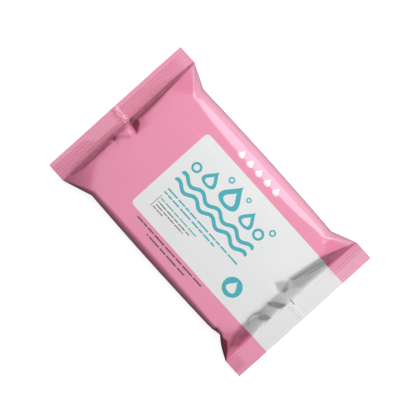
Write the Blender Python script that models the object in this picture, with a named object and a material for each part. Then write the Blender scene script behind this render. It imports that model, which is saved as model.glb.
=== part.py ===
"""A flow-wrapped pack of folded wet wipes, lying on its back seam, with its resealable label.

The pack is one tube of film round a stack of wipes. A fin seal runs along its back, and a ribbed crimp
seal closes each end. The filled pack can't be seen into, so film and wipes are one solid. The label that
covers the dispensing slot is a separate sticker on the front.

Metres, +Z up. X runs along the pack, Y across it, and the origin is the middle of the back, on the table.
"""

import math

import bmesh
import bpy

# Driving dimensions of the pack.
PACK_LENGTH = 0.1902
FLAT_WIDTH = 0.1184  # of the empty tube pressed flat, so the end seals are this wide
BODY_WIDTH = 0.1046
BODY_HEIGHT = 0.0236  # up to the rounded edges of the front
CROWN = 0.0009  # how far the middle of the front stands above its edges
WAIST = 0.0008  # how much narrower each side is at the shoulders than at the middle

# End seals. Depths are measured along X, and "inward" starts at a seal's inner edge.
SEAL_DEPTH = 0.0138
SEAL_HEIGHT = 0.0095  # of the seal's middle plane above the table
SEAL_THICKNESS = 0.0006
RIB_COUNT = 5
RIB_PITCH = 0.0021
RIB_HEIGHT = 0.00022  # from the middle plane to a crest

# The free film between a seal and the stack of wipes. Dictionaries are keyed by end, -1 or 1.
WALL_WIDTH = {-1: 0.0036, 1: 0.0120}  # the steep part of the front, at the middle of the seal
WALL_CORNER = 0.0015  # the same at the ends of the seal
WALL_SHARE = {-1: 0.83, 1: 0.86}  # how much of the climb the steep part makes
FRONT_SLOPE = {-1: 0.0200, 1: 0.0240}
BACK_SLOPE = 0.0140
SWELL_POWER = 0.75
SHOULDER = 0.0190
FLARES = {(-1, 1): 0.0176, (1, 1): 0.0172, (-1, -1): 0.0206, (1, -1): 0.0158}  # keyed by end and side
FLARE_POWER = 1.05
EAR_NOTCH = 0.0013  # how much further the film is drawn in at the root of the ear at +X, -Y
EAR_SPREAD = 0.0050
GATHER = 0.0260  # how far from a seal's corner, across the pack, the film takes to open fully
GATHER_LEAN = 0.60  # how much the distance inward counts towards that
SEAL_CORNER = 0.0004  # width of the section's rounded edge where it dies out at a seal
CORNER_UPPER = 0.0136  # width of the rounded edge between front and side, at +Y
CORNER_LOWER = 0.0070  # the same at -Y
BODY_STATIONS = 9

# The fin seal along the back, folded flat towards +Y.
FIN_WIDTH = 0.0100
FIN_THICKNESS = 0.0004
FIN_RELIEF = 0.0060  # the film beside the fin comes back down to the table over this width

# Tucks where the stiff back seam pulls the front film in, beside each end seal:
# end (-1 or 1), distance inward, place across, depth, and how far it spreads inward and across.
TUCKS = (
    (-1, 0.0050, 0.0026, 0.0030, 0.0045, 0.0030),
    (-1, 0.0025, -0.0140, 0.0014, 0.0030, 0.0040),
    (-1, 0.0020, 0.0190, 0.0016, 0.0035, 0.0080),
    (1, 0.0115, 0.0030, 0.0024, 0.0050, 0.0032),
    (1, 0.0050, -0.0095, 0.0026, 0.0045, 0.0036),
    (1, 0.0045, -0.0215, 0.0022, 0.0040, 0.0046),
    (1, 0.0070, 0.0240, 0.0018, 0.0040, 0.0110),
)
TUCK_START = 0.0020  # a tuck fades out over this distance before the seal

# The resealable label: a rounded rectangle whose +X end narrows to a pull tab.
LABEL_LEFT = -0.0572
LABEL_SHOULDER = 0.0382
LABEL_RIGHT = 0.0588
LABEL_HALF_WIDTH = 0.0287
LABEL_TAB_HALF_WIDTH = 0.0070
LABEL_CORNER = 0.0070
LABEL_TAB_CORNER = 0.0030
LABEL_GAP = 0.0003
LABEL_THICKNESS = 0.0002
LABEL_COLUMNS = 26
LABEL_ROWS = 14
LABEL_TAB_COLUMNS = 6

# How finely the film is divided: steps round an edge or corner, distances inward of the sections beside
# each seal, and places of the points across the front and the back.
CORNER_STEPS = 6
SLOPE_STATIONS = (0.0004, 0.0010, 0.0017, 0.0026, 0.0037, 0.0053, 0.0072, 0.0094, 0.0122, 0.0156)
SLOPE_STATIONS += (0.0190, 0.0247)
FRONT_LINES = (-0.043, -0.037, -0.030, -0.0215, -0.0160, -0.0120, -0.0080, -0.0045, -0.0015)
FRONT_LINES += (0.0015, 0.0045, 0.0080, 0.0130, 0.0200, 0.0290, 0.0360)
BACK_LINES = (0.0300, 0.0400)

PINK_FILM = (0.76, 0.28, 0.41, 1.0)
LABEL_FILM = (0.84, 0.62, 0.69, 1.0)


def ease(share):
    """A smooth step from 0 to 1."""
    share = min(max(share, 0.0), 1.0)
    return share * share * (3.0 - 2.0 * share)


def mix(start, end, share):
    return start + (end - start) * share


def inward(x):
    """Distance from the nearer end seal's inner edge towards the middle; negative within the seal."""
    return PACK_LENGTH / 2 - SEAL_DEPTH - abs(x)


def swell(distance, slope):
    """How far the film has opened from the seal, 0, to the full height of the stack, 1."""
    if distance <= 0.0:
        return 0.0
    if distance >= slope:
        return 1.0
    return (1.0 - (1.0 - distance / slope) ** 2) ** SWELL_POWER


def gathered(x, y):
    """Share of its height that the film reaches near a seal's corners: none at the corner itself."""
    away = FLAT_WIDTH / 2 - abs(y) + GATHER_LEAN * max(inward(x), 0.0)
    return math.sin(math.pi / 2 * min(max(away / GATHER, 0.0), 1.0))


def climb(x, y):
    """How far the front film has climbed from a seal, 0, to the top of the stack, 1."""
    end = 1 if x > 0.0 else -1
    distance = max(inward(x), 0.0)
    width = mix(WALL_WIDTH[end], WALL_CORNER, min(abs(2.0 * y / FLAT_WIDTH), 1.0) ** 2)
    wall = min(distance / width, 1.0)
    steep = swell(wall, 1.0) if end < 0 else ease(wall)
    gentle = math.sin(math.pi / 2 * min(distance / FRONT_SLOPE[end], 1.0))
    return mix(gentle, steep, WALL_SHARE[end])


def half_width(x, y):
    """The distance of the side at y from the middle plane: full at a seal, drawn in at the shoulder."""
    end, side = (1 if x > 0.0 else -1), (1 if y > 0.0 else -1)
    reach = PACK_LENGTH / 2 - SEAL_DEPTH - SHOULDER
    body = BODY_WIDTH / 2 - WAIST * min(abs(x) / reach, 1.0) ** 2
    if (end, side) == (1, -1):
        body -= EAR_NOTCH * math.exp(-((inward(x) - FLARES[end, side]) / EAR_SPREAD) ** 2)
    share = min(max(inward(x) / FLARES[end, side], 0.0), 1.0)
    return mix(FLAT_WIDTH / 2, body, share ** FLARE_POWER)


def seam_height(x):
    """Height of the widest line of the section, where the film's side crease runs."""
    return mix(SEAL_HEIGHT, BODY_HEIGHT / 2, ease(inward(x) / SHOULDER))


def corner_width(x, y):
    """Width of the rounded edge of the section: none at a seal's corner, full past the shoulder."""
    full = CORNER_UPPER if y > 0 else CORNER_LOWER
    return mix(SEAL_CORNER, full, ease(inward(x) / SHOULDER))


def corner_share(x, y):
    """Height of the section at y as a share of its full height: 1 on the flat front, 0 at the side."""
    width = corner_width(x, y)
    past = (abs(y) - (half_width(x, y) - width)) / width
    past = min(max(past, 0.0), 1.0)
    roundness = ease(inward(x) / SHOULDER)
    return mix(1.0 - past, math.sqrt(1.0 - past * past), roundness)


def rib_wave(x):
    """Height of the crimp ribs, which start at the seal's inner edge."""
    depth = -inward(x)
    if depth <= 0.0 or depth >= RIB_COUNT * RIB_PITCH:
        return 0.0
    return -RIB_HEIGHT * math.cos(2.0 * math.pi * depth / RIB_PITCH)


def tuck_depth(x, y):
    """How far the tucks beside the end seals sink the front film."""
    distance = inward(x)
    depth = 0.0
    for end, place, across, deepest, spread_in, spread_across in TUCKS:
        if end * x > 0.0:
            reach = ((distance - place) / spread_in) ** 2 + ((y - across) / spread_across) ** 2
            depth += deepest * math.exp(-reach)
    return depth * ease(distance / TUCK_START)


def front_height(x, y):
    """Height of the front film."""
    edge = seam_height(x) + SEAL_THICKNESS / 2 + rib_wave(x)
    opened = climb(x, y) * gathered(x, y)
    rise = (BODY_HEIGHT - seam_height(x) - SEAL_THICKNESS / 2) * opened
    crown = CROWN * max(1.0 - (2.0 * y / BODY_WIDTH) ** 2, 0.0) * opened
    return edge + max((rise + crown) * corner_share(x, y) - tuck_depth(x, y), 0.0)


def back_height(x, y, on_fin=False):
    """Height of the back film, or of the fin's lower face."""
    edge = seam_height(x) - SEAL_THICKNESS / 2 + rib_wave(x)
    opened = swell(inward(x), BACK_SLOPE) * gathered(x, y)
    film = edge * (1.0 - opened * corner_share(x, y))
    if on_fin:
        return film - FIN_THICKNESS * (1.0 - swell(inward(x), BACK_SLOPE))
    beside = max(-y, y - FIN_WIDTH, 0.0)
    return film + FIN_THICKNESS * swell(inward(x), BACK_SLOPE) * (1.0 - ease(beside / FIN_RELIEF))


def stations():
    """Places along X of the pack's sections, from the -X end to the +X end."""
    inner = PACK_LENGTH / 2 - SEAL_DEPTH
    seal = [inner + step * RIB_PITCH / 2 for step in range(2 * RIB_COUNT + 1)]
    seal.append(PACK_LENGTH / 2)
    slope = [inner - distance for distance in SLOPE_STATIONS]
    body_end = slope[-1]
    body = [body_end * (2.0 * step / BODY_STATIONS - 1.0) for step in range(1, BODY_STATIONS)]
    end = sorted(seal + slope)
    return [-x for x in reversed(end)] + body + end


def rounding(edge, width):
    """Places from an edge over a rounding of this signed width, close together at the edge."""
    turns = [math.pi / 2 * step / CORNER_STEPS for step in range(CORNER_STEPS + 1)]
    return [edge + width * (1.0 - math.cos(turn)) for turn in turns]


def section(x):
    """The closed outline of the pack at x: over the front from -Y to +Y, then back under it."""
    points = []
    lower_turn = rounding(-half_width(x, -1.0), corner_width(x, -1.0))
    upper_turn = rounding(half_width(x, 1.0), -corner_width(x, 1.0))[::-1]
    for y in lower_turn + list(FRONT_LINES) + upper_turn:
        points.append((x, y, front_height(x, y)))
    for y in reversed(upper_turn):
        points.append((x, y, back_height(x, y)))
    for y in (*reversed(BACK_LINES), FIN_WIDTH + FIN_RELIEF, FIN_WIDTH + 0.4 * FIN_RELIEF, FIN_WIDTH):
        points.append((x, y, back_height(x, y)))
    for y in (FIN_WIDTH, FIN_WIDTH / 2, 0.0):
        points.append((x, y, back_height(x, y, on_fin=True)))
    for y in (0.0, -0.4 * FIN_RELIEF, -FIN_RELIEF, *(-y for y in BACK_LINES)):
        points.append((x, y, back_height(x, y)))
    for y in reversed(lower_turn):
        points.append((x, y, back_height(x, y)))
    return points


def new_material(name, colour, roughness):
    material = bpy.data.materials.new(name)
    material.use_nodes = True
    shader = material.node_tree.nodes["Principled BSDF"]
    shader.inputs["Base Color"].default_value = colour
    shader.inputs["Roughness"].default_value = roughness
    shader.inputs["Metallic"].default_value = 0.0
    return material


def new_object(name, mesh_builder, material):
    """An object at the origin whose mesh is what mesh_builder(bm) makes, smooth except at creases."""
    bm = bmesh.new()
    mesh_builder(bm)
    bmesh.ops.recalc_face_normals(bm, faces=bm.faces)
    mesh = bpy.data.meshes.new(name)
    bm.to_mesh(mesh)
    bm.free()
    mesh.materials.append(material)
    mesh.shade_smooth()
    mesh.set_sharp_from_angle(angle=math.radians(35.0))
    part = bpy.data.objects.new(name, mesh)
    bpy.context.scene.collection.objects.link(part)
    return part


def loft(bm, rings):
    """Joins closed rings of equal length into one skin, and caps both ends."""
    rows = [[bm.verts.new(point) for point in ring] for ring in rings]
    count = len(rings[0])
    for row, after in zip(rows, rows[1:]):
        for i in range(count):
            j = (i + 1) % count
            bm.faces.new((row[i], row[j], after[j], after[i]))
    bm.faces.new(rows[0])
    bm.faces.new(rows[-1])


def build_pack(bm):
    loft(bm, [section(x) for x in stations()])
    bmesh.ops.triangulate(bm, faces=[face for face in bm.faces if len(face.verts) > 3])


def rounded_end(distance, corner):
    """How far a rounded corner draws an edge in, at this distance from the end."""
    if distance >= corner:
        return 0.0
    return corner - math.sqrt(corner * corner - (corner - distance) ** 2)


def label_half_width(x):
    """Half the label's width at x."""
    if x <= LABEL_SHOULDER:
        return LABEL_HALF_WIDTH - rounded_end(x - LABEL_LEFT, LABEL_CORNER)
    taper = (x - LABEL_SHOULDER) / (LABEL_RIGHT - LABEL_SHOULDER)
    straight = mix(LABEL_HALF_WIDTH, LABEL_TAB_HALF_WIDTH, taper)
    return straight - rounded_end(LABEL_RIGHT - x, LABEL_TAB_CORNER)


def label_places():
    """Places along X of the label's sections, close together at its rounded ends."""
    left = rounding(LABEL_LEFT, LABEL_CORNER)
    body = [mix(left[-1], LABEL_SHOULDER, s / LABEL_COLUMNS) for s in range(1, LABEL_COLUMNS + 1)]
    tip = LABEL_RIGHT - LABEL_TAB_CORNER
    tab = [mix(LABEL_SHOULDER, tip, s / LABEL_TAB_COLUMNS) for s in range(1, LABEL_TAB_COLUMNS + 1)]
    right = rounding(LABEL_RIGHT, -LABEL_TAB_CORNER)[::-1]
    return left + body + tab + right[1:]


def label_section(x):
    """The label's thin closed section at x, lying on the front film."""
    half = label_half_width(x)
    across = [half * (2.0 * s / LABEL_ROWS - 1.0) for s in range(LABEL_ROWS + 1)]
    top = [(x, y, front_height(x, y) + LABEL_GAP + LABEL_THICKNESS) for y in across]
    under = [(x, y, front_height(x, y) + LABEL_GAP) for y in reversed(across)]
    return top + under


def build_label(bm):
    loft(bm, [label_section(x) for x in label_places()])
    bmesh.ops.triangulate(bm, faces=[face for face in bm.faces if len(face.verts) > 3])


def main():
    for old in list(bpy.data.objects):
        bpy.data.objects.remove(old)
    new_object("wipes_pack", build_pack, new_material("pink_film", PINK_FILM, 0.3))
    new_object("reseal_label", build_label, new_material("clear_label", LABEL_FILM, 0.2))


main()
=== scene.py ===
"""Looks for a flow-wrapped pack of wet wipes: its film with the crimps, tucks and print, and its label.

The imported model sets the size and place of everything. All lengths are in metres, and the pack lies on
its back seam with X along it, Y across it and Z up.
"""

import math

import bpy
import numpy as np
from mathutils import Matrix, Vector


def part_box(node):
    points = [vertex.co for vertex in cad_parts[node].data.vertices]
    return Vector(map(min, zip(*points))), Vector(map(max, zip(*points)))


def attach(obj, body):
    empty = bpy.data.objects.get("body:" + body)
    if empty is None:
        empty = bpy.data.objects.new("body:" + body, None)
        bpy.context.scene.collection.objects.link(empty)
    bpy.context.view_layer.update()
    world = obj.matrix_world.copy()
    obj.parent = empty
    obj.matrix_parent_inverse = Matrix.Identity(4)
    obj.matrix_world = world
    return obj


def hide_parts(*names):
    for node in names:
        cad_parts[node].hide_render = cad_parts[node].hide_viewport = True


bl_info = {
    "name": "Wet wipes pack",
    "version": (1, 0, 0),
    "blender": (4, 5, 0),
    "location": "3D View > Sidebar > Wipes",
    "description": "Builds a printed flow-wrap pack with its resealable label and a pale studio",
    "category": "Add Mesh",
}

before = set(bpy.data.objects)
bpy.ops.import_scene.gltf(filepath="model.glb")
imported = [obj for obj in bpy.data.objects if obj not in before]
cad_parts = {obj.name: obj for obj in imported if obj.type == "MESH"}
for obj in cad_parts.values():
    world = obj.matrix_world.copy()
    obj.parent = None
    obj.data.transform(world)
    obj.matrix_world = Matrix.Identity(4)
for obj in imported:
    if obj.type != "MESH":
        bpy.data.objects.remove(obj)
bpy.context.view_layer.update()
PACK_LOW, PACK_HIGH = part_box("wipes_pack")
LABEL_LOW, LABEL_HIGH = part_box("reseal_label")
LENGTH = PACK_HIGH.x - PACK_LOW.x
FLAT_WIDTH = PACK_HIGH.y - PACK_LOW.y
TOP = PACK_HIGH.z
MM = 0.001

# ---------------------------------------------------------------------------------------------------
# Shape of the film

SEAL_HEIGHT = 0.0095
SEAL_THICKNESS = 0.0006
SEAL_WAVE = 0.0008
SHOULDER = 0.0190
FLARES = {(-1, 1): 0.0176, (1, 1): 0.0172, (-1, -1): 0.0206, (1, -1): 0.0158}
FLARE_POWER = 1.05
EAR_NOTCH = 0.0013
EAR_SPREAD = 0.0050
GATHER = 0.0320
GATHER_LEAN = 0.60
GATHER_POWER = 2.4
CROWN = 0.0009
WAIST = 0.0008
FRONT_DIP = 0.0003
FIN_WIDTH = 0.0100
FIN_THICKNESS = 0.0004
FIN_RELIEF = 0.0060
FIN_MIDDLE = -0.0016
FIN_OVERLAP = 0.0019
FIN_STEP = {-1: 0.00055, 1: 0.00025}
BACK_SLOPE = 0.0140
SEAM_SHARE = 0.47
SURFACE_GAP = 0.00002
FOLD_ZONE = 0.0235  # how far in from each seal the film's sections lie close together

# Rounded edge between the front and each side: its full width on the +Y and -Y sides, its width at the
# seals, and how far in from the -X and +X seals it takes to open.
EDGE_WIDTH = {1: 0.0136, -1: 0.0052}
EDGE_START = 0.0004
EDGE_REACH = {-1: 0.0260, 1: 0.0380}

# The film climbs from each seal in a steep wall and then a gentle slope. The wall's width changes across
# the pack: (across, width) in millimetres, from the -Y corner to the +Y corner.
WALL_WIDTHS = {
    -1: ((-59, 1.0), (-50, 2.0), (-30, 2.6), (-14, 3.0), (0, 4.2),
         (8, 5.4), (18, 5.2), (26, 4.4), (44, 3.0), (59, 1.0)),
    1: ((-59, 1.0), (-50, 7.5), (-36, 12.5), (-18, 11.5), (0, 12.0),
        (10, 14.0), (34, 10.5), (50, 4.4), (59, 1.0)),
}
WALL_SHARE = {-1: 0.83, 1: 0.86}
SLOPE_WIDTH = {-1: 0.0200, 1: 0.0240}

# Folds pressed into the front film beside the seals. Each is a line of (inward, across, height) points in
# millimetres, then the fold's reach on the line's +Y side and on its -Y side where the line runs inward,
# and its softness: 1 is a sharp crease, 2 a soft one. A negative height is a valley.
LEFT_FOLDS = (
    (((0.4, -0.4, -6.5), (4.5, -0.8, -4.8), (10.6, -1.6, -0.4)), 4.8, 1.6, 1.3),
    (((0.0, -3.4, 0.8), (5.0, -4.2, 1.0), (10.0, -5.2, 0.2)), 1.5, 4.4, 1.7),
    (((1.2, -12.8, -1.2), (2.8, -15.6, -2.8), (2.4, -19.0, -1.2)), 1.5, 1.6, 1.4),
    (((2.4, -20.0, -1.0), (2.6, -32.0, -1.2), (2.4, -46.0, -0.6)), 1.1, 1.2, 1.3),
)
RIGHT_FOLDS = (
    (((2.6, 50.0, -0.4), (7.4, 35.4, -1.2)), 1.6, 1.4, 1.1),
    (((5.5, 32.7, -1.0), (9.0, 18.6, -1.8), (11.4, 9.6, -1.2)), 1.6, 2.2, 1.0),
    (((5.0, 33.0, -0.6), (7.0, 20.0, -0.9)), 0.9, 0.9, 1.1),
    (((8.6, 0.9, -1.3), (12.0, 0.6, -0.9), (17.4, -0.4, -0.2)), 4.8, 4.6, 1.6),
    (((0.6, -1.8, 0.5), (8.0, -3.0, 0.4), (20.0, -4.6, 0.1)), 2.2, 3.2, 1.8),
    (((0.8, -8.6, -1.5), (5.0, -10.8, -2.0), (10.5, -13.2, -0.4)), 3.6, 5.0, 1.2),
    (((1.2, -22.0, -1.3), (4.6, -24.0, -1.6), (8.0, -25.6, -0.3)), 2.8, 4.6, 1.2),
    (((7.6, -18.6, -1.0), (11.2, -24.3, -1.4), (10.8, -29.7, -1.2), (8.6, -32.4, -0.5)), 0.9, 1.3, 1.0),
    (((9.6, -33.0, -0.7), (8.6, -42.0, -0.9), (5.0, -50.5, -0.3)), 1.4, 1.6, 1.2),
)

# Wrinkles of the front film: heights, and the place, (inward, across), and reach of the crumples.
FINE_PUCKER = 0.00005
BROAD_PUCKER = 0.00012
STACK_SWELL = 0.00005
CRUMPLE_HEIGHT = {-1: 0.00008, 1: 0.00004}
CRUMPLE_PLACE = (0.014, 0.045)
CRUMPLE_REACH = (0.009, 0.006)

# Painted shade for the pockets of doubled film, which light hardly reaches: a convex outline as
# (inward, across) in millimetres, how wide its soft edge is, and how deep the painted shade is.
LEFT_PAINTED_SHADES = (
    (((-0.4, 0.9), (5.2, -0.5), (11.0, -1.6), (6.8, 4.8), (4.6, 5.4), (-0.4, 3.6)), 1.6, 0.88),
    (((-0.3, 2.0), (3.0, 3.4), (5.0, 8.0), (5.4, 13.0), (5.0, 21.0), (3.2, 34.0), (-0.3, 46.0)), 2.8, 0.56),
    (((-0.2, 30.0), (3.0, 34.0), (2.6, 46.0), (-0.2, 56.0)), 3.0, 0.36),
    (((-0.8, 56.5), (-0.6, 53.5), (1.4, 52.5), (1.0, 54.0)), 1.2, 0.60),
    (((1.0, -14.0), (2.6, -15.0), (10.2, -6.6), (9.2, -4.8)), 3.4, 0.42),
    (((-0.2, -17.9), (1.8, -18.4), (4.2, -14.8), (2.4, -13.3), (-0.2, -13.2)), 1.3, 0.80),
    (((-0.1, -52.0), (2.4, -52.0), (4.5, -43.0), (4.5, -18.5), (-0.1, -18.5)), 2.0, 0.44),
    (((2.6, -42.0), (3.5, -42.0), (3.4, -20.0), (2.6, -20.0)), 0.9, 0.45),
)
RIGHT_PAINTED_SHADES = (
    (((1.2, 33.9), (9.0, 33.9), (6.8, 42.2), (3.6, 50.6), (0.6, 56.5)), 1.6, 0.38),
    (((1.4, 34.0), (8.0, 34.0), (6.2, 38.0), (2.2, 38.0)), 2.2, 0.45),
    (((7.8, 34.2), (9.2, 34.2), (3.8, 50.6), (3.0, 50.6)), 1.2, 0.45),
    (((2.6, 12.0), (6.5, 7.0), (13.6, 8.6), (9.6, 34.0), (2.0, 34.0)), 4.2, 0.34),
    (((10.5, 10.2), (11.7, 10.2), (6.8, 33.8), (5.4, 33.8)), 1.1, 0.72),
    (((6.6, 18.0), (7.7, 18.0), (5.0, 33.4), (3.6, 33.4)), 1.0, 0.50),
    (((13.2, -2.0), (17.8, 0.7), (15.2, 5.3), (12.2, 8.0), (8.5, 4.7), (7.8, 0.4)), 2.6, 0.45),
    (((7.8, 0.2), (10.6, 0.4), (10.2, 4.2), (8.2, 4.2)), 1.6, 0.45),
    (((1.2, -7.6), (3.2, -10.0), (8.5, -12.7), (11.4, -12.2), (8.0, -8.0), (1.6, -4.0), (0.6, -4.4)),
     1.5, 0.82),
    (((1.6, -20.2), (5.2, -24.0), (7.2, -24.0), (8.5, -21.4), (5.8, -18.0), (1.0, -17.2)), 1.7, 0.75),
    (((10.6, -24.4), (11.5, -24.4), (8.6, -19.4), (7.6, -19.2)), 0.9, 0.50),
    (((10.8, -28.6), (11.7, -28.6), (11.5, -24.2), (10.7, -24.2)), 0.9, 0.50),
    (((8.2, -31.6), (9.2, -32.2), (11.7, -28.6), (10.9, -28.2)), 0.9, 0.45),
    (((1.4, -35.0), (12.0, -35.0), (12.6, -12.0), (1.4, -8.0)), 4.5, 0.22),
    (((1.5, -46.0), (6.0, -51.0), (10.6, -44.0), (9.6, -35.0), (1.8, -35.0)), 3.2, 0.48),
    (((3.0, -42.0), (6.6, -42.0), (6.6, -35.2), (3.0, -35.2)), 1.8, 0.35),
    (((0.8, -57.2), (2.0, -57.8), (6.8, -48.0), (9.4, -38.0), (8.4, -38.0), (5.4, -48.0)), 1.1, 0.50),
    (((-0.2, -60.0), (15.9, -60.0), (15.9, -49.6), (9.6, -48.9), (5.0, -53.0), (-0.2, -58.4)), 1.3, 0.99),
    (((19.0, -49.8), (21.6, -49.8), (21.6, -47.2), (19.0, -47.2)), 2.4, 0.75),
)

# How far the film's colour is blended towards pale grey: in the seals, which are paler, from -Y to +Y in
# the +X one, and along the +Y side, where the pale grey is a painted reflection of the light.
LEFT_SEAL_PALLOR = 0.09
RIGHT_SEAL_PALLOR = (0.04, 0.20)
SEAL_PALLOR_SPREAD = 0.060
SIDE_PAINTED_REFLECTION = 0.34


def ease(share):
    """A smooth step from 0 to 1."""
    share = np.clip(share, 0.0, 1.0)
    return share * share * (3.0 - 2.0 * share)


def mix(start, end, share):
    return start + (end - start) * share


def inward(x, film):
    """Distance from the nearer seal's inner edge towards the middle, negative within the seal."""
    return LENGTH / 2 - film.seal_depth - np.abs(x)


def by_end(values, x):
    """The value for the end that each x is nearer to, from a dictionary keyed -1 and 1."""
    return np.where(x < 0, values[-1], values[1])


def side_width(x, side, film):
    """Distance of the side crease from the pack's middle plane, on the +Y side, 1, or the -Y side, -1."""
    reach = LENGTH / 2 - film.seal_depth - SHOULDER
    body = film.body_width / 2 - WAIST * np.clip(np.abs(x) / reach, 0.0, 1.0) ** 2
    flare = by_end({end: FLARES[end, side] for end in (-1, 1)}, x)
    if side < 0:
        body = body - EAR_NOTCH * np.exp(-(((inward(x, film) - flare) / EAR_SPREAD) ** 2)) * (x > 0)
    share = np.clip(inward(x, film) / flare, 0.0, 1.0)
    return mix(FLAT_WIDTH / 2, body, share**FLARE_POWER)


def half_width(x, y, film):
    """Distance from the middle plane of the side crease on y's side."""
    return np.where(y > 0, side_width(x, 1, film), side_width(x, -1, film))


def seam_height(x, film):
    """Height of the side crease."""
    return mix(SEAL_HEIGHT, TOP * SEAM_SHARE, ease(inward(x, film) / (1.4 * SHOULDER)))


def edge_share(x, y, film):
    """Height at y as a share of the flat front's: 1 on the front, falling to 0 at the side crease."""
    distance = np.maximum(inward(x, film), 0.0)
    full = np.where(y > 0, EDGE_WIDTH[1], EDGE_WIDTH[-1])
    width = EDGE_START + full * np.tanh(distance / by_end(EDGE_REACH, x))
    past = np.clip((np.abs(y) - (half_width(x, y, film) - width)) / width, 0.0, 1.0)
    roundness = ease(distance / (1.3 * SHOULDER))
    return mix(1.0 - past**1.15, np.sqrt(1.0 - past**2), roundness)


def wall_width(x, y):
    """Width along X of the steep part of the film beside each seal."""
    widths = []
    for end in (-1, 1):
        across, width = np.array(WALL_WIDTHS[end], float).T * MM
        widths.append(np.interp(y, across, width))
    return np.where(x < 0, *widths)


def climb(x, y, film):
    """How far the front film has climbed from the seal, 0, to the top of the stack, 1."""
    distance = np.maximum(inward(x, film), 0.0)
    wall = np.clip(distance / wall_width(x, y), 0.0, 1.0)
    bulging = (1.0 - (1.0 - wall) ** 2) ** 0.62
    steep = np.where(x < 0, bulging, ease(wall**1.15))
    gentle = np.sin(0.5 * math.pi * np.clip(distance / by_end(SLOPE_WIDTH, x), 0.0, 1.0))
    return mix(gentle, steep, by_end(WALL_SHARE, x))


def gathered(x, y, film):
    """Share of its height that the film reaches near a seal's corners: none at the corner itself."""
    away = FLAT_WIDTH / 2 - np.abs(y) + GATHER_LEAN * np.maximum(inward(x, film), 0.0)
    return 1.0 - (1.0 - np.clip(away / GATHER, 0.0, 1.0)) ** GATHER_POWER


def rib_strength(x, y, film):
    """Where the crimp jaws bit: nearly everywhere at -X, and only here and there at +X."""
    depth = -inward(x, film)
    over_fin = ease((np.abs(y - FIN_MIDDLE) - FIN_OVERLAP) / (0.5 * MM))
    # A flat patch with a slanted foot lies beside the fin at -X, and has ribs only on its inward side.
    slanted = np.abs(y + 13.0 * MM + 0.5 * depth) - 9.5 * MM + 0.4 * (8.0 * MM - depth)
    slack = np.maximum(ease(slanted / (4.0 * MM)), ease((5.4 * MM - depth) / (2.0 * MM)))
    fading = mix(1.0, 0.25, ease((y - 0.046) / 0.010))
    left = over_fin * slack * fading
    upper = ease((y - 0.031) / 0.003) * ease((6.2 * MM - depth) / (1.5 * MM))
    foot = ease((-y - 0.049) / 0.003)
    right = over_fin * (0.14 + 0.75 * upper + 0.6 * foot)
    return np.where(x < 0, left, right)


def ribs(x, y, film):
    """Height of the crimp ribs, which run along the seal from its inner edge."""
    depth = -inward(x, film)
    inside = (depth > 0.0) & (depth < film.rib_count * film.rib_pitch)
    wave = -film.rib_height * np.cos(2.0 * math.pi * depth / film.rib_pitch)
    return np.where(inside, wave * rib_strength(x, y, film), 0.0)


def seal_wave(x, y):
    """The slow waviness of each seal, which dies out towards the body."""
    left = 0.5 * np.sin(y / 0.017 + 0.6) + 0.35 * np.sin(y / 0.0083 + 2.0)
    right = 0.6 * np.sin(y / 0.021 + 2.4) + 0.3 * np.sin(y / 0.0102)
    reach = ease((np.abs(x) - 0.072) / 0.020)
    return SEAL_WAVE * np.where(x < 0, left, right) * reach


def fin_overlap(x, y, film):
    """The step where the back fin runs on between the seal's layers."""
    depth = -inward(x, film)
    across = ease((FIN_OVERLAP + 0.4 * MM - np.abs(y - FIN_MIDDLE)) / (0.8 * MM))
    crumple = 0.75 + 0.35 * np.sin(depth / 0.0011 + 1.0) * np.sin(y / 0.0009)
    return by_end(FIN_STEP, x) * across * crumple * ease((depth + 1.0 * MM) / (1.5 * MM))


def one_fold(distance, y, fold):
    """Height added by one fold, at places given by distance from the seal and y, both in millimetres."""
    points, reach_left, reach_right, softness = fold
    best = np.full(np.shape(distance), 1e9)
    height = np.zeros_like(best)
    for (x0, y0, h0), (x1, y1, h1) in zip(points, points[1:]):
        run_x, run_y = x1 - x0, y1 - y0
        run = math.hypot(run_x, run_y)
        along = np.clip(((distance - x0) * run_x + (y - y0) * run_y) / run**2, 0.0, 1.0)
        off_x, off_y = distance - (x0 + along * run_x), y - (y0 + along * run_y)
        away = np.hypot(off_x, off_y)
        side = run_x * off_y - run_y * off_x
        reach = np.where(side > 0, reach_left, reach_right)
        lift = mix(h0, h1, along) * np.exp(-((away / reach) ** softness))
        nearer = away < best
        height = np.where(nearer, lift, height)
        best = np.where(nearer, away, best)
    return height


def folds(x, y, film):
    """Height of all the folds beside the seals."""
    distance = inward(x, film)
    total = np.zeros(np.broadcast(x, y).shape)
    for end, pressed in ((-1, LEFT_FOLDS), (1, RIGHT_FOLDS)):
        for fold in pressed:
            total += np.where(x * end > 0, one_fold(distance / MM, y / MM, fold), 0.0)
    return film.fold_depth * MM * total * ease((distance + 0.2 * MM) / (1.6 * MM))


def one_patch(distance, y, patch):
    """Strength of one shaded patch, at places given by distance from the seal and y, in millimetres."""
    corners, softness, strength = patch
    outside = np.full(np.broadcast(distance, y).shape, -1e9)
    for (x0, y0), (x1, y1) in zip(corners, corners[1:] + corners[:1]):
        run_x, run_y = x1 - x0, y1 - y0
        off = (run_y * (distance - x0) - run_x * (y - y0)) / math.hypot(run_x, run_y)
        outside = np.maximum(outside, off)
    return strength * ease(0.5 - outside / softness)


def painted_pocket_shade(x, y, film):
    """Painted shade for the pockets of folded film: how deep in one each place lies, from 0 in the open to 1.
    """
    distance = inward(x, film) / MM
    light = np.ones(np.broadcast(x, y).shape)
    for end, patches in ((-1, LEFT_PAINTED_SHADES), (1, RIGHT_PAINTED_SHADES)):
        for patch in patches:
            light *= 1.0 - np.where(x * end > 0, one_patch(distance, y / MM, patch), 0.0)
    return 1.0 - light


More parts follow.
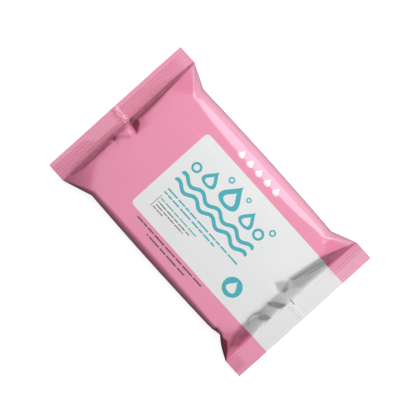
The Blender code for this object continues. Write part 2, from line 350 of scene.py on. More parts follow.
def seal_pallor_and_painted_reflection(x, y, film):
    """Blend to pale grey: a little in the seals, and more round the +Y edge as a painted reflection."""
    right = mix(*RIGHT_SEAL_PALLOR, ease(0.5 + y / SEAL_PALLOR_SPREAD))
    seal = np.where(x < 0, LEFT_SEAL_PALLOR, right) * ease(-inward(x, film) / (1.0 * MM))
    inset = half_width(x, y, film) - np.abs(y)
    side = ease((6.4 * MM - inset) / (2.6 * MM)) * (y > 0) * ease(inward(x, film) / (3.0 * MM))
    return np.maximum(seal, SIDE_PAINTED_REFLECTION * side)


def puckers(x, y, film):
    """Wrinkles that fan out from the seals, crumples at the +Y corners, and the stack's faint unevenness."""
    distance = np.maximum(inward(x, film), 0.0)
    fine = np.sin(y / 0.0016 + 3.0 * np.sin(y / 0.011)) * np.exp(-distance / 0.005)
    broad = np.sin(y / 0.0062 + x / 0.05) * np.exp(-distance / 0.012)
    fanned = (FINE_PUCKER * fine + BROAD_PUCKER * broad) * ease(distance / 0.002)
    stack = np.sin(x / 0.017 + 1.3 * np.sin(y / 0.019)) * np.sin(y / 0.013 + 0.7) * ease(distance / 0.02)
    crumpled = np.sin(x / 0.0010 + 2.0 * np.sin(y / 0.0025)) * np.sin(y / 0.0016 + 1.6 * np.sin(x / 0.0024))
    off_x = (distance - CRUMPLE_PLACE[0]) / CRUMPLE_REACH[0]
    off_y = (y - CRUMPLE_PLACE[1]) / CRUMPLE_REACH[1]
    corner = np.exp(-(off_x**2) - off_y**2) * by_end(CRUMPLE_HEIGHT, x)
    return fanned + corner * crumpled + STACK_SWELL * stack


def back_height(x, y, film):
    """Height of the back film."""
    edge = seam_height(x, film) - SEAL_THICKNESS / 2 + ribs(x, y, film) + seal_wave(x, y)
    opened = np.clip(inward(x, film) / BACK_SLOPE, 0.0, 1.0)
    swell = (1.0 - (1.0 - opened) ** 2) ** 0.75 * gathered(x, y, film)
    beside = np.maximum(np.maximum(-y, y - FIN_WIDTH), 0.0)
    hem = FIN_THICKNESS * swell * (1.0 - ease(beside / FIN_RELIEF))
    return edge * (1.0 - swell * edge_share(x, y, film)) + hem


def front_height(x, y, film):
    """Height of the front film."""
    edge = seam_height(x, film) + SEAL_THICKNESS / 2 + ribs(x, y, film) + seal_wave(x, y)
    edge = edge + fin_overlap(x, y, film)
    level = TOP - CROWN + CROWN * np.clip(1.0 - (2.0 * y / film.body_width) ** 2, 0.0, 1.0)
    rise = (level - FRONT_DIP - edge) * climb(x, y, film) * gathered(x, y, film)
    share = edge_share(x, y, film)
    worked = (folds(x, y, film) + puckers(x, y, film)) * share
    floor = back_height(x, y, film) + SEAL_THICKNESS
    return np.minimum(np.maximum(edge + rise * share + worked, floor), TOP)


# ---------------------------------------------------------------------------------------------------
# Meshes


def new_mesh_object(name, points, faces, material):
    """A smooth-shaded object whose mesh has these points and faces."""
    mesh = bpy.data.meshes.new(name)
    mesh.from_pydata([tuple(point) for point in points], [], [tuple(face) for face in faces])
    mesh.validate()
    mesh.materials.append(material)
    mesh.shade_smooth()
    piece = bpy.data.objects.new(name, mesh)
    bpy.context.scene.collection.objects.link(piece)
    return piece


def places_along(film):
    """Places of the film's sections along X: closest over the ribs and the folds."""
    inner = LENGTH / 2 - film.seal_depth
    seal = np.linspace(LENGTH / 2, inner, 53)
    wall = inner - FOLD_ZONE * np.linspace(0.0, 1.0, 68)[1:] ** 1.15
    body = np.linspace(wall[-1], 0.0, 31)[1:]
    half = np.concatenate([seal, wall, body])
    return np.concatenate([-half, half[:-1][::-1]])


def shares_across(middle_count, turn_count, turn_share):
    """Places across the film as shares of its half width, closer together round the edges."""
    flat = 1.0 - turn_share
    middle = np.linspace(-flat, flat, middle_count)
    turn = flat + turn_share * np.sin(0.5 * math.pi * np.arange(1, turn_count + 1) / turn_count)
    return np.concatenate([-turn[::-1], middle, turn])


def lofted_faces(rings, ring_length):
    """Quads joining closed rings of points in order, and one face over each end."""
    start = np.arange(rings - 1)[:, None] * ring_length
    here = np.arange(ring_length)[None, :]
    after = (here + 1) % ring_length
    near = (start + here, start + after)
    quads = np.stack([*near, near[1] + ring_length, near[0] + ring_length], -1)
    faces = [tuple(quad) for quad in quads.reshape(-1, 4)]
    faces.append(tuple(range(ring_length))[::-1])
    faces.append(tuple(range((rings - 1) * ring_length, rings * ring_length)))
    return faces


def film_points(film):
    """Rings of points round the pack, one at each place along it, and what the film is like at each point."""
    x = places_along(film)[:, None]
    over = shares_across(film.columns, 26, 0.26)[None, :]
    over = over * half_width(x, over, film)
    under = shares_across(44, 14, 0.24)[None, ::-1]
    under = under * half_width(x, under, film)
    front = np.stack([x + 0 * over, over, front_height(x, over, film)], -1)
    back = np.stack([x + 0 * under, under, back_height(x, under, film)], -1)
    rings = np.concatenate([front, back], 1)
    on_front = np.zeros(rings.shape[:2])
    on_front[:, : over.shape[1]] = 1.0
    # Painted shade for the folds' pockets, darkening the film's colour where shade falls.
    shade = np.zeros(rings.shape[:2])
    shade[:, : over.shape[1]] = painted_pocket_shade(x, over, film)
    # Blend towards pale grey: paler seals, and a painted reflection round the +Y edge.
    haze = seal_pallor_and_painted_reflection(x, np.concatenate([over, under], 1), film)
    return rings, {"on_front": on_front, "painted_shade": film.painted_shade_depth * shade, "haze": haze}


def add_attribute(piece, name, values):
    """Stores a number for each point of the piece's mesh."""
    mark = piece.data.attributes.new(name, "FLOAT", "POINT")
    mark.data.foreach_set("value", np.ascontiguousarray(values, np.float32).reshape(-1))


def film_mesh(film, material):
    rings, marks = film_points(film)
    faces = lofted_faces(*rings.shape[:2])
    pouch = new_mesh_object("film_pouch", rings.reshape(-1, 3), faces, material)
    for name, values in marks.items():
        add_attribute(pouch, name, values)
    return pouch


def sheet_mesh(name, x, across, above, below, material):
    """A closed thin sheet between two surfaces, whose heights are given over a grid of places."""
    places = (x + 0 * across, across + 0 * x)
    top = np.stack([*places, above], -1)
    under = np.stack([*places, below], -1)[:, ::-1]
    rings = np.concatenate([top, under], 1)
    faces = lofted_faces(*rings.shape[:2])
    return new_mesh_object(name, rings.reshape(-1, 3), faces, material)


def fin_mesh(film, material):
    """The back seam: a flat strip of two sealed layers, folded over against the back film."""
    x = places_along(film)[::2][:, None]
    across = np.linspace(0.0, FIN_WIDTH, 11)[None, :]
    above = back_height(x, across, film) - SURFACE_GAP
    crimp = 0.05 * MM * np.sin(2.0 * math.pi * across / (1.25 * MM))
    body = ease(inward(x, film) / BACK_SLOPE)
    below = above - FIN_THICKNESS * mix(1.0, 0.85, body) + crimp * ease(across / 0.001)
    return sheet_mesh("back_seam", x, across, above, np.maximum(below, 0.0), material)


def rounded_end(distance, corner):
    """How far a rounded corner draws an edge in, at this distance from the end."""
    inside = np.clip(corner - distance, 0.0, corner)
    return corner - np.sqrt(corner * corner - inside * inside)


def label_half_width(x, label):
    """Half the label's width at x: full along the body, then narrowing to the pull tab."""
    full = (LABEL_HIGH.y - LABEL_LOW.y) / 2
    taper = np.clip((x - label.tab_start) / (LABEL_HIGH.x - label.tab_start), 0.0, 1.0)
    straight = mix(full, label.tab_width / 2, taper)
    tip = rounded_end(LABEL_HIGH.x - x, label.tab_corner)
    return straight - rounded_end(x - LABEL_LOW.x, label.corner) - tip


def label_mesh(film, label, material):
    corner = LABEL_LOW.x + label.corner * (1.0 - np.cos(np.linspace(0.0, 0.5 * math.pi, 16)))
    tip = LABEL_HIGH.x - label.tab_corner
    body = np.linspace(corner[-1], label.tab_start, 70)
    taper = np.linspace(label.tab_start, tip, 24)
    nose = tip + label.tab_corner * np.sin(np.linspace(0.0, 0.5 * math.pi, 14))
    x = np.concatenate([corner[:-1], body, taper[1:], nose[1:]])[:, None]
    share = np.concatenate([[-1.0, -0.997], np.linspace(-0.99, 0.99, 61), [0.997, 1.0]])
    across = share[None, :] * label_half_width(x, label)
    rim = ease((label_half_width(x, label) - np.abs(across)) / (0.12 * MM))
    film_top = front_height(x, across, film) + SURFACE_GAP
    above = film_top + label.thickness * mix(0.55, 1.0, rim)
    sheet = sheet_mesh("label_sheet", x, across, above, film_top, material)
    sheet.data.set_sharp_from_angle(angle=math.radians(30.0))
    add_attribute(sheet, "on_front", np.ones(len(sheet.data.vertices)))
    return sheet


# ---------------------------------------------------------------------------------------------------
# Shader groups


def new_group(name, inputs, outputs):
    """An empty shader node group. Inputs are (name, default) and outputs are (name, socket type)."""
    group = bpy.data.node_groups.new(name, "ShaderNodeTree")
    for title, value in inputs:
        kind = "NodeSocketColor" if isinstance(value, tuple) else "NodeSocketFloat"
        group.interface.new_socket(title, in_out="INPUT", socket_type=kind).default_value = value
    for title, kind in outputs:
        group.interface.new_socket(title, in_out="OUTPUT", socket_type=kind)
    source = group.nodes.new("NodeGroupInput")
    sink = group.nodes.new("NodeGroupOutput")
    return group, source.outputs, sink.inputs


def feed(tree, value, socket):
    """Sets a socket to a number or a colour, or links another socket to it."""
    if isinstance(value, bpy.types.NodeSocket):
        tree.links.new(value, socket)
    else:
        socket.default_value = value


def maths(tree, operation, first, second=0.0, third=0.0, clamp=False):
    node = tree.nodes.new("ShaderNodeMath")
    node.operation = operation
    node.use_clamp = clamp
    for value, socket in zip((first, second, third), node.inputs):
        feed(tree, value, socket)
    return node.outputs[0]


def times(tree, first, second):
    return maths(tree, "MULTIPLY", first, second)


def minus(tree, first, second):
    return maths(tree, "SUBTRACT", first, second)


def blend_colours(tree, share, below, above):
    node = tree.nodes.new("ShaderNodeMix")
    node.data_type = "RGBA"
    feed(tree, share, node.inputs["Factor"])
    feed(tree, below, node.inputs["A"])
    feed(tree, above, node.inputs["B"])
    return node.outputs["Result"]


def add_group(tree, group):
    node = tree.nodes.new("ShaderNodeGroup")
    node.node_tree = group
    return node


def scaled(tree, vector, share):
    """A vector or colour times a number."""
    node = tree.nodes.new("ShaderNodeVectorMath")
    node.operation = "SCALE"
    feed(tree, vector, node.inputs[0])
    feed(tree, share, node.inputs["Scale"])
    return node.outputs[0]


def attribute(tree, name):
    """The value of one of the mesh's own attributes."""
    node = tree.nodes.new("ShaderNodeAttribute")
    node.attribute_name = name
    return node.outputs["Fac"]


def gap(tree, first, second):
    """How far apart two values are."""
    return maths(tree, "ABSOLUTE", minus(tree, first, second))


def diagonal(tree, first, second):
    """Length of the diagonal over two sides."""
    squares = [times(tree, side, side) for side in (first, second)]
    return maths(tree, "SQRT", maths(tree, "ADD", *squares))


def inside_mask(tree, distance, reach):
    """1 where the distance is less than the reach, with a soft edge."""
    past = maths(tree, "DIVIDE", minus(tree, distance, reach), EDGE)
    return maths(tree, "SUBTRACT", 0.5, past, clamp=True)


PLACE = (("X", 0.0), ("Y", 0.0))
CENTRE = (("Centre X", 0.0), ("Centre Y", 0.0))
MASK = (("Mask", "NodeSocketFloat"),)
EDGE = 0.10  # softness of a printed edge, in millimetres


def plate_group():
    """A filled rectangle with rounded corners."""
    sizes = (("Half Length", 1.0), ("Half Height", 1.0), ("Corner", 0.1))
    group, given, result = new_group("Printed plate", PLACE + CENTRE + sizes, MASK)
    outside = []
    for place, centre, half in (("X", "Centre X", "Half Length"), ("Y", "Centre Y", "Half Height")):
        reach = minus(group, given[half], given["Corner"])
        past = minus(group, gap(group, given[place], given[centre]), reach)
        outside.append(maths(group, "MAXIMUM", past, 0.0))
    group.links.new(inside_mask(group, diagonal(group, *outside), given["Corner"]), result["Mask"])
    return group


def ring_group():
    """A circle drawn with a thick line."""
    sizes = (("Radius", 1.0), ("Line", 0.3))
    group, given, result = new_group("Printed ring", PLACE + CENTRE + sizes, MASK)
    offset_x = minus(group, given["X"], given["Centre X"])
    offset_y = minus(group, given["Y"], given["Centre Y"])
    off_line = gap(group, diagonal(group, offset_x, offset_y), given["Radius"])
    half_line = times(group, given["Line"], 0.5)
    group.links.new(inside_mask(group, off_line, half_line), result["Mask"])
    return group


def drop_group():
    """A filled water drop, pointed at its +Y end."""
    sizes = (("Half Length", 1.0), ("Half Width", 1.0))
    group, given, result = new_group("Printed drop", PLACE + CENTRE + sizes, MASK)
    offset_y = minus(group, given["Y"], given["Centre Y"])
    share = maths(group, "DIVIDE", offset_y, given["Half Length"])
    from_tip = maths(group, "MAXIMUM", minus(group, 1.0, share), 0.0)
    from_base = maths(group, "MAXIMUM", maths(group, "ADD", 1.0, share), 0.0)
    profile = maths(group, "SQRT", times(group, maths(group, "POWER", from_tip, 3.0), from_base))
    widest = 0.77  # brings the widest part of the profile to the half width
    width = times(group, times(group, profile, widest), given["Half Width"])
    mask = inside_mask(group, gap(group, given["X"], given["Centre X"]), width)
    within = maths(group, "LESS_THAN", maths(group, "ABSOLUTE", share), 1.0)
    group.links.new(times(group, mask, within), result["Mask"])
    return group


def wave_group():
    """A thick wavy line with round ends."""
    sizes = (("Half Length", 1.0), ("Swing", 1.0), ("Wavelength", 1.0), ("Line", 0.3))
    group, given, result = new_group("Printed wave", PLACE + CENTRE + sizes, MASK)
    offset_x = minus(group, given["X"], given["Centre X"])
    offset_y = minus(group, given["Y"], given["Centre Y"])
    turns = maths(group, "DIVIDE", 2.0 * math.pi, given["Wavelength"])
    angle = times(group, offset_x, turns)
    crest = times(group, maths(group, "COSINE", angle), given["Swing"])
    steepest = times(group, given["Swing"], turns)
    slope = times(group, maths(group, "SINE", angle), steepest)
    away = maths(group, "DIVIDE", gap(group, offset_y, crest), diagonal(group, 1.0, slope))
    past_end = minus(group, maths(group, "ABSOLUTE", offset_x), given["Half Length"])
    off_line = diagonal(group, away, maths(group, "MAXIMUM", past_end, 0.0))
    half_line = times(group, given["Line"], 0.5)
    group.links.new(inside_mask(group, off_line, half_line), result["Mask"])
    return group


def dashes_group():
    """A row of short dashes of uneven length, as fine print looks from a distance."""
    sizes = (("Start", 0.0), ("End", 1.0), ("Centre Y", 0.0), ("Height", 1.0), ("Seed", 0.0))
    group, given, result = new_group("Printed dashes", PLACE + sizes, MASK)
    middle = times(group, maths(group, "ADD", given["Start"], given["End"]), 0.5)
    half_length = times(group, minus(group, given["End"], given["Start"]), 0.5)
    along = inside_mask(group, gap(group, given["X"], middle), half_length)
    half_height = times(group, given["Height"], 0.5)
    across = inside_mask(group, gap(group, given["Y"], given["Centre Y"]), half_height)
    place = maths(group, "DIVIDE", given["X"], given["Height"])
    slow = maths(group, "SINE", maths(group, "MULTIPLY_ADD", place, 1.21, given["Seed"]))
    seed = times(group, given["Seed"], 2.3)
    quick = maths(group, "SINE", maths(group, "MULTIPLY_ADD", place, 1.93, seed))
    dashes = maths(group, "GREATER_THAN", maths(group, "ADD", slow, quick), -1.3)
    row = times(group, along, across)
    group.links.new(times(group, row, dashes), result["Mask"])
    return group


def stamp(tree, group, place, *sizes):
    """Places one printed shape and returns its mask. The sizes follow the order of the group's inputs."""
    node = add_group(tree, group)
    for value, socket in zip((*place, *sizes), node.inputs):
        feed(tree, value, socket)
    return node.outputs["Mask"]


def union(tree, masks):
    total = masks[0]
    for mask in masks[1:]:
        total = maths(tree, "MAXIMUM", total, mask)
    return total


def without(tree, mask, cut):
    return times(tree, mask, minus(tree, 1.0, cut))


# Layout of the print, in millimetres from the pack's middle. Each shape is given as its group's inputs are:
# centre and sizes, or for the rows of dashes start, end, centre, height and seed.
PANEL = (60.3, -0.45, 100.0, 34.25, 3.0)
MOTIF_MIDDLE = 3.0
DROPS = ((-15.0, 15.6, 6.6), (MOTIF_MIDDLE, 18.2, 9.4), (21.0, 15.6, 6.6))  # centre and half length
DROP_WIDTH = 0.86  # as a share of a drop's length
DROP_BLANK = 0.54  # size of a drop's blank inside as a share of the drop
DROP_BLANK_SHIFT = 0.19  # how far towards -Y the inside lies, as a share of the drop's half length
BUBBLES = ((-27.4, 13.0, 2.9), (-5.6, 24.6, 1.7), (11.8, 24.0, 1.4), (32.6, 13.4, 3.2), (38.4, 21.0, 1.8))
WAVE_HEIGHTS = (3.2, -3.0)
WAVE_SIZES = (33.5, 1.7, 16.0, 2.6)
BADGE = (47.0, -22.6, 7.0, 7.0, 7.0)
BADGE_DROP = (47.0, -22.0, 4.4, 3.6)
TEAL_ROWS = ((-29.8, 38.0, -10.2, 1.15, 0.4), (-29.8, 18.8, -13.4, 1.15, 2.1), (-28.0, 6.0, -18.0, 0.85, 1.3))
INK_ROWS = (
    (-28.0, 2.4, -20.9, 0.7, 0.9),
    (-28.0, -1.2, -23.2, 0.7, 2.6),
    (-28.0, -18.8, -25.4, 0.7, 4.2),
    (-30.0, 32.8, -37.6, 1.05, 1.7),
    (-16.8, 19.8, -41.1, 1.05, 3.1),
)
INK_BARS = ((-29.4, -21.4, 0.2, 5.0, 0.1), (82.0, 0.4, 2.2, 0.3, 0.1))
STRIP_STEPS = (-2, -1, 0, 1, 2)
STRIP_SPACING = 8.4
STRIP_DROP = (41.4, 2.9, 2.4)


def outlined_drop(tree, place, drop, centre_x, centre_y, half_length):
    """A drop drawn with a thick line, blank inside."""
    half_width = DROP_WIDTH * half_length
    outer = stamp(tree, drop, place, centre_x, centre_y, half_length, half_width)
    inner = stamp(tree, drop, place, centre_x, centre_y - DROP_BLANK_SHIFT * half_length,
                  DROP_BLANK * half_length, DROP_BLANK * half_width)
    return without(tree, outer, inner)


def print_masks(tree, place, shapes):
    """Masks of the print: white panel and small drops, teal motifs and rows, and dark fine print."""

    def drawn(kind, table):
        return [stamp(tree, shapes[kind], place, *sizes) for sizes in table]

    strip = [(MOTIF_MIDDLE + STRIP_SPACING * step, *STRIP_DROP) for step in STRIP_STEPS]
    white = drawn("plate", [PANEL]) + drawn("drop", strip)
    teal = [outlined_drop(tree, place, shapes["drop"], *drop) for drop in DROPS]
    teal += drawn("ring", [(x, y, radius, 0.45 * radius + 0.3) for x, y, radius in BUBBLES])
    teal += drawn("wave", [(MOTIF_MIDDLE, height, *WAVE_SIZES) for height in WAVE_HEIGHTS])
    teal.append(without(tree, *drawn("plate", [BADGE]), *drawn("drop", [BADGE_DROP])))
    teal += drawn("dashes", TEAL_ROWS)
    ink = drawn("dashes", INK_ROWS) + drawn("plate", INK_BARS)
    return white, teal, ink


def print_group(shapes):
    """Everything printed on the front: its colour over the film, and where ink lies."""
    colours = ("Film Colour", "Panel Colour", "Print Colour", "Ink Colour")
    inputs = (("On Front", 1.0),) + tuple((title, (0.5, 0.5, 0.5, 1.0)) for title in colours)
    outputs = (("Color", "NodeSocketColor"), ("Printed", "NodeSocketFloat"))
    group, given, result = new_group("Front print", inputs, outputs)
    coordinates = group.nodes.new("ShaderNodeTexCoord")
    apart = group.nodes.new("ShaderNodeSeparateXYZ")
    group.links.new(scaled(group, coordinates.outputs["Object"], 1.0 / MM), apart.inputs[0])
    white, teal, ink = print_masks(group, (apart.outputs["X"], apart.outputs["Y"]), shapes)

    front = maths(group, "GREATER_THAN", given["On Front"], 0.5)
    colour = given["Film Colour"]
    for masks, title in ((white, "Panel Colour"), (teal, "Print Colour"), (ink, "Ink Colour")):
        share = times(group, union(group, masks), front)
        colour = blend_colours(group, share, colour, given[title])
    group.links.new(colour, result["Color"])
    printed = times(group, union(group, teal + ink), front)
    group.links.new(printed, result["Printed"])
    return group


def film_surface_group():
    """Fine unevenness of stretched film: a tone, a roughness and a height."""
    inputs = (("Roughness", 0.2), ("Haze", 0.05), ("Printed", 0.0))
    outputs = (("Tone", "NodeSocketFloat"), ("Roughness", "NodeSocketFloat"), ("Height", "NodeSocketFloat"))
    group, given, result = new_group("Film surface", inputs, outputs)
    coordinates = group.nodes.new("ShaderNodeTexCoord")
    noises = []
    for scale, detail in ((38.0, 2.0), (420.0, 3.0)):
        noise = group.nodes.new("ShaderNodeTexNoise")
        noise.inputs["Scale"].default_value = scale
        noise.inputs["Detail"].default_value = detail
        group.links.new(coordinates.outputs["Object"], noise.inputs["Vector"])
        noises.append(noise.outputs["Fac"])
    cloud, grain = noises
    group.links.new(maths(group, "MULTIPLY_ADD", cloud, 0.06, 0.97), result["Tone"])
    uneven = times(group, minus(group, grain, 0.5), given["Haze"])
    rough = maths(group, "ADD", given["Roughness"], uneven)
    group.links.new(maths(group, "MULTIPLY_ADD", given["Printed"], 0.05, rough), result["Roughness"])
    group.links.new(maths(group, "MULTIPLY_ADD", grain, 0.12, cloud), result["Height"])
    return group


def painted_shade_group():
    """Painted shade in a pocket: the film's colour multiplied by itself, as light met twice, and duller."""
    inputs = (("Color", (0.8, 0.8, 0.8, 1.0)), ("Painted Shade", 0.0), ("Depth", 0.45))
    group, given, result = new_group("Painted pocket shade", inputs, (("Color", "NodeSocketColor"),))
    twice = group.nodes.new("ShaderNodeVectorMath")
    twice.operation = "MULTIPLY"
    group.links.new(given["Color"], twice.inputs[0])
    group.links.new(given["Color"], twice.inputs[1])
    dimmed = scaled(group, twice.outputs[0], given["Depth"])
    colour = blend_colours(group, given["Painted Shade"], given["Color"], dimmed)
    group.links.new(colour, result["Color"])
    return group


def shared_groups():
    """The shader groups, made once."""
    if "Front print" not in bpy.data.node_groups:
        shapes = {
            "plate": plate_group(),
            "ring": ring_group(),
            "drop": drop_group(),
            "wave": wave_group(),
            "dashes": dashes_group(),
        }
        print_group(shapes)
        film_surface_group()
        painted_shade_group()
    titles = {"print": "Front print", "surface": "Film surface", "painted_shade": "Painted pocket shade"}
    return {key: bpy.data.node_groups[title] for key, title in titles.items()}


# ---------------------------------------------------------------------------------------------------
# Materials

FILM_IOR = 1.5
COAT_ROUGHNESS = 0.12
BUMP_STRENGTH = 0.35
GLOW_START = 0.2  # distance from the pack's middle where the floor's glow starts to rise
GLOW_REACH = 0.6  # and over which it rises to its full strength


def new_material(name):
    """A new material, its node tree and its shader."""
    material = bpy.data.materials.new(name)
    material.use_nodes = True
    return material, material.node_tree, material.node_tree.nodes["Principled BSDF"]


def printed_film_material(name, film, groups, roughness, coat):
    """Printed plastic film."""
    material, tree, shader = new_material(name)
    artwork = add_group(tree, groups["print"])
    tree.links.new(attribute(tree, "on_front"), artwork.inputs["On Front"])
    for title, shade in (("Film Colour", film.film_colour), ("Panel Colour", film.panel_colour),
                         ("Print Colour", film.print_colour), ("Ink Colour", film.ink_colour)):
        artwork.inputs[title].default_value = (*shade, 1.0)

    surface = add_group(tree, groups["surface"])
    surface.inputs["Roughness"].default_value = roughness
    surface.inputs["Haze"].default_value = film.haze
    tree.links.new(artwork.outputs["Printed"], surface.inputs["Printed"])

    tone = scaled(tree, artwork.outputs["Color"], surface.outputs["Tone"])
    # Blends the colour to pale grey: paler in the seals, and a painted reflection round the +Y edge.
    pale_and_reflection_blend = blend_colours(tree, attribute(tree, "haze"), tone, (*film.pale_and_reflection_colour, 1.0))
    # Painted shade: darkens the colour in the pockets between the folds.
    painted_shade = add_group(tree, groups["painted_shade"])
    tree.links.new(pale_and_reflection_blend, painted_shade.inputs["Color"])
    tree.links.new(attribute(tree, "painted_shade"), painted_shade.inputs["Painted Shade"])
    tree.links.new(painted_shade.outputs["Color"], shader.inputs["Base Color"])
    tree.links.new(surface.outputs["Roughness"], shader.inputs["Roughness"])

    bump = tree.nodes.new("ShaderNodeBump")
    bump.inputs["Strength"].default_value = BUMP_STRENGTH
    bump.inputs["Distance"].default_value = film.bump_height
    tree.links.new(surface.outputs["Height"], bump.inputs["Height"])
    tree.links.new(bump.outputs["Normal"], shader.inputs["Normal"])

    shader.inputs["IOR"].default_value = FILM_IOR
    shader.inputs["Specular IOR Level"].default_value = film.specular
    shader.inputs["Coat Weight"].default_value = coat
    shader.inputs["Coat Roughness"].default_value = COAT_ROUGHNESS
    shader.inputs["Coat IOR"].default_value = FILM_IOR
    return material


def floor_material(stage):
    """A white sweep that looks evenly lit, but throws little light back up at the pack."""
    material, tree, shader = new_material("studio_floor")
    path = tree.nodes.new("ShaderNodeLightPath")
    colour = blend_colours(tree, path.outputs["Is Camera Ray"], (*[stage.floor_bounce] * 3, 1.0),
                           (*stage.floor_colour, 1.0))
    tree.links.new(colour, shader.inputs["Base Color"])
    coordinates = tree.nodes.new("ShaderNodeTexCoord")
    away = tree.nodes.new("ShaderNodeVectorMath")
    away.operation = "LENGTH"
    tree.links.new(coordinates.outputs["Object"], away.inputs[0])
    past = minus(tree, away.outputs["Value"], GLOW_START)
    far = maths(tree, "DIVIDE", past, GLOW_REACH, clamp=True)
    glow = maths(tree, "MULTIPLY_ADD", far, 1.0 - stage.floor_glow, stage.floor_glow)
    glow = times(tree, path.outputs["Is Camera Ray"], glow)
    tree.links.new(glow, shader.inputs["Emission Strength"])
    shader.inputs["Emission Color"].default_value = (1.0, 1.0, 1.0, 1.0)
    shader.inputs["Roughness"].default_value = 0.9
    shader.inputs["Specular IOR Level"].default_value = 0.0
    return material


# ---------------------------------------------------------------------------------------------------
# Settings


def length(name, description, default):
    return bpy.props.FloatProperty(name=name, description=description, default=default, min=0.0,
                                   subtype="DISTANCE", unit="LENGTH", precision=5)


def amount(name, description, default):
    return bpy.props.FloatProperty(name=name, description=description, default=default, min=0.0)


def power(name, description, default):
    return bpy.props.FloatProperty(name=name, description=description, default=default, unit="POWER")


def whole(name, description, default, least):
    return bpy.props.IntProperty(name=name, description=description, default=default, min=least)


def colour(name, description, default):
    return bpy.props.FloatVectorProperty(name=name, description=description, default=default, size=3, min=0.0,
                                         max=1.0, subtype="COLOR")


class WipesFilmSettings(bpy.types.PropertyGroup):
    body_width: length("Body width", "Width of the filled pack", 0.1046)
    seal_depth: length("Seal depth", "Depth of each end seal along the pack", 0.0138)
    rib_pitch: length("Rib pitch", "Distance between crimp ribs", 0.00214)
    rib_height: length("Rib height", "Height of a rib from its middle", 0.00030)
    rib_count: whole("Ribs", "Crimp ribs in each seal", 5, 0)
    fold_depth: amount("Fold depth", "Scale of the folds beside the seals", 1.0)
    # Strength of the painted shade in the pockets between folds.
    painted_shade_depth: amount("Pocket depth", "How strongly the pockets between folds are shaded", 1.0)
    columns: whole("Columns", "Points across the flat front", 132, 8)
    film_colour: colour("Film", "Colour of the film", (0.718, 0.219, 0.351))
    panel_colour: colour("Panel", "Colour of the printed panel", (0.685, 0.69, 0.69))
    print_colour: colour("Print", "Colour of the motifs", (0.008, 0.34, 0.39))
    # The pale grey that the seals blend towards, also used for the painted reflection round the +Y edge.
    pale_and_reflection_colour: colour("Pale blend", "Pale grey of the seals and of the painted reflection", (0.62, 0.54, 0.57))
    ink_colour: colour("Ink", "Colour of the small dark print", (0.05, 0.03, 0.04))
    roughness: amount("Roughness", "Roughness of the film", 0.18)
    haze: amount("Haze", "How uneven the film's roughness is", 0.08)
    specular: amount("Specular", "Strength of the film's reflection", 0.5)
    coat: amount("Lacquer", "Strength of the film's gloss lacquer", 0.5)
    bump_height: length("Unevenness", "Height of the film's fine unevenness", 0.0004)


class WipesLabelSettings(bpy.types.PropertyGroup):
    thickness: length("Thickness", "Thickness of the label", 0.00005)
    corner: length("Corner", "Radius of the label's corners", 0.0070)
    tab_start: length("Tab start", "Where the label starts to narrow", 0.0382)
    tab_width: length("Tab width", "Width of the pull tab's end", 0.0140)
    tab_corner: length("Tab corner", "Radius of the pull tab's corners", 0.0030)
    roughness: amount("Roughness", "Roughness of the label", 0.16)


class WipesStageSettings(bpy.types.PropertyGroup):
    floor_colour: colour("Floor", "Colour of the floor", (0.86, 0.86, 0.86))
    floor_bounce: amount("Floor bounce", "Share of light that the floor throws back at the pack", 0.12)
    floor_glow: amount("Floor glow", "Light added to the floor's own", 0.68)
    key_power: power("Key", "Power of the side softbox", 3.8)
    low_power: power("Low", "Power of the low softbox behind the key", 1.2)
    front_power: power("Front", "Power of the weak softbox opposite the key", 0.7)
    end_power: power("End", "Power of the softbox off the -X end", 0.5)
    top_power: power("Top", "Power of the overhead softbox", 5.8)
    fill: amount("Fill", "Strength of the light from all round", 0.08)
    camera_height: length("Camera height", "Height of the camera above the table", 1.180)
    headroom: length("Headroom", "How far the pack's middle lies below the view's middle", 0.0010)
    camera_turn: bpy.props.FloatProperty(
        name="Camera turn", description="Turn of the camera about the vertical", default=math.radians(48.0),
        subtype="ANGLE", unit="ROTATION")


# ---------------------------------------------------------------------------------------------------
# Operators


class WIPES_OT_film(bpy.types.Operator):
    """Builds the printed film pouch and its back seam"""

    bl_idname = "wipes.film"
    bl_label = "Film pouch"

    def execute(self, context):
        film = context.scene.wipes_film
        material = printed_film_material("printed_film", film, shared_groups(), film.roughness, film.coat)
        pouch = film_mesh(film, material)
        seam = fin_mesh(film, material)
        for piece in (pouch, seam):
            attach(piece, "root")
            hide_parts("wipes_pack")
        return {"FINISHED"}


class WIPES_OT_label(bpy.types.Operator):
    """Builds the resealable label on the front"""

    bl_idname = "wipes.label"
    bl_label = "Resealable label"

    def execute(self, context):
        film = context.scene.wipes_film
        label = context.scene.wipes_label
        material = printed_film_material("printed_label", film, shared_groups(), label.roughness, film.coat)
        sheet = label_mesh(film, label, material)
        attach(sheet, "root")
        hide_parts("reseal_label")
        return {"FINISHED"}


FLOOR_REACH = 6.0
LENS = 150.0
SENSOR = 36.0


def add_softbox(name, watts, size, location):
    """A rectangular area light at location, facing the pack's middle. The camera doesn't see it."""
    data = bpy.data.lights.new(name, "AREA")
    data.shape = "RECTANGLE"
    data.energy = watts
    data.size, data.size_y = size
    lamp = bpy.data.objects.new(name, data)
    lamp.location = location
    aim = -np.array(location)
    lamp.rotation_euler = (math.atan2(math.hypot(aim[0], aim[1]), -aim[2]), 0.0, math.atan2(-aim[0], aim[1]))
    lamp.visible_camera = False
    bpy.context.scene.collection.objects.link(lamp)


def white_world(strength):
    """A world that the camera sees as white, and that lights the pack with this strength from all round."""
    world = bpy.data.worlds.new("studio")
    world.use_nodes = True
    tree = world.node_tree
    background = tree.nodes["Background"]
    background.inputs["Color"].default_value = (1.0, 1.0, 1.0, 1.0)
    path = tree.nodes.new("ShaderNodeLightPath")
    seen = maths(tree, "MULTIPLY_ADD", path.outputs["Is Camera Ray"], 1.0 - strength, strength)
    tree.links.new(seen, background.inputs["Strength"])
    return world


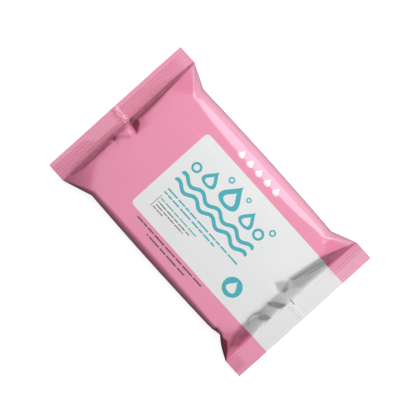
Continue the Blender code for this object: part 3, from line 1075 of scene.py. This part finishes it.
class WIPES_OT_stage(bpy.types.Operator):
    """Builds the floor, the lights and the camera"""

    bl_idname = "wipes.stage"
    bl_label = "Stage"

    def execute(self, context):
        stage = context.scene.wipes_stage
        scene = context.scene
        corners = [(x * FLOOR_REACH, y * FLOOR_REACH, 0.0) for x, y in ((-1, -1), (1, -1), (1, 1), (-1, 1))]
        floor = new_mesh_object("studio_floor", corners, [(0, 1, 2, 3)], floor_material(stage))

        add_softbox("side_softbox", stage.key_power, (0.42, 0.52), (0.05, 0.42, 0.46))
        add_softbox("low_softbox", stage.low_power, (1.2, 0.36), (0.0, 0.85, 0.16))
        add_softbox("front_softbox", stage.front_power, (1.4, 0.5), (0.0, -0.9, 0.35))
        add_softbox("end_softbox", stage.end_power, (0.3, 0.6), (-0.62, 0.1, 0.55))
        add_softbox("top_softbox", stage.top_power, (1.2, 1.2), (0.0, -0.1, 1.25))
        scene.world = white_world(stage.fill)
        scene.view_settings.view_transform = "Standard"

        data = bpy.data.cameras.new("camera")
        data.lens = LENS
        data.sensor_width = SENSOR
        data.clip_end = 20.0
        camera = bpy.data.objects.new("camera", data)
        up = (-math.sin(stage.camera_turn), math.cos(stage.camera_turn))
        camera.location = (stage.headroom * up[0], stage.headroom * up[1], stage.camera_height)
        camera.rotation_euler = (0.0, 0.0, stage.camera_turn)
        scene.collection.objects.link(camera)
        scene.camera = camera
        return {"FINISHED"}


class WIPES_PT_panel(bpy.types.Panel):
    """Lists the pack's pieces and their settings"""

    bl_idname = "WIPES_PT_panel"
    bl_label = "Wet wipes pack"
    bl_space_type = "VIEW_3D"
    bl_region_type = "UI"
    bl_category = "Wipes"

    def draw(self, context):
        for key in SETTINGS:
            settings = getattr(context.scene, key)
            box = self.layout.box()
            box.operator(key.replace("_", "."))
            for name in settings.__annotations__:
                box.prop(settings, name)


SETTINGS = {
    "wipes_film": WipesFilmSettings,
    "wipes_label": WipesLabelSettings,
    "wipes_stage": WipesStageSettings,
}
CLASSES = (*SETTINGS.values(), WIPES_OT_film, WIPES_OT_label, WIPES_OT_stage, WIPES_PT_panel)


def register():
    for item in CLASSES:
        bpy.utils.register_class(item)
    for name, kind in SETTINGS.items():
        setattr(bpy.types.Scene, name, bpy.props.PointerProperty(type=kind))


def unregister():
    for name in SETTINGS:
        delattr(bpy.types.Scene, name)
    for item in reversed(CLASSES):
        bpy.utils.unregister_class(item)


def main():
    register()
    bpy.ops.wipes.film()
    bpy.ops.wipes.label()
    bpy.ops.wipes.stage()


if __name__ == "__main__":
    main()
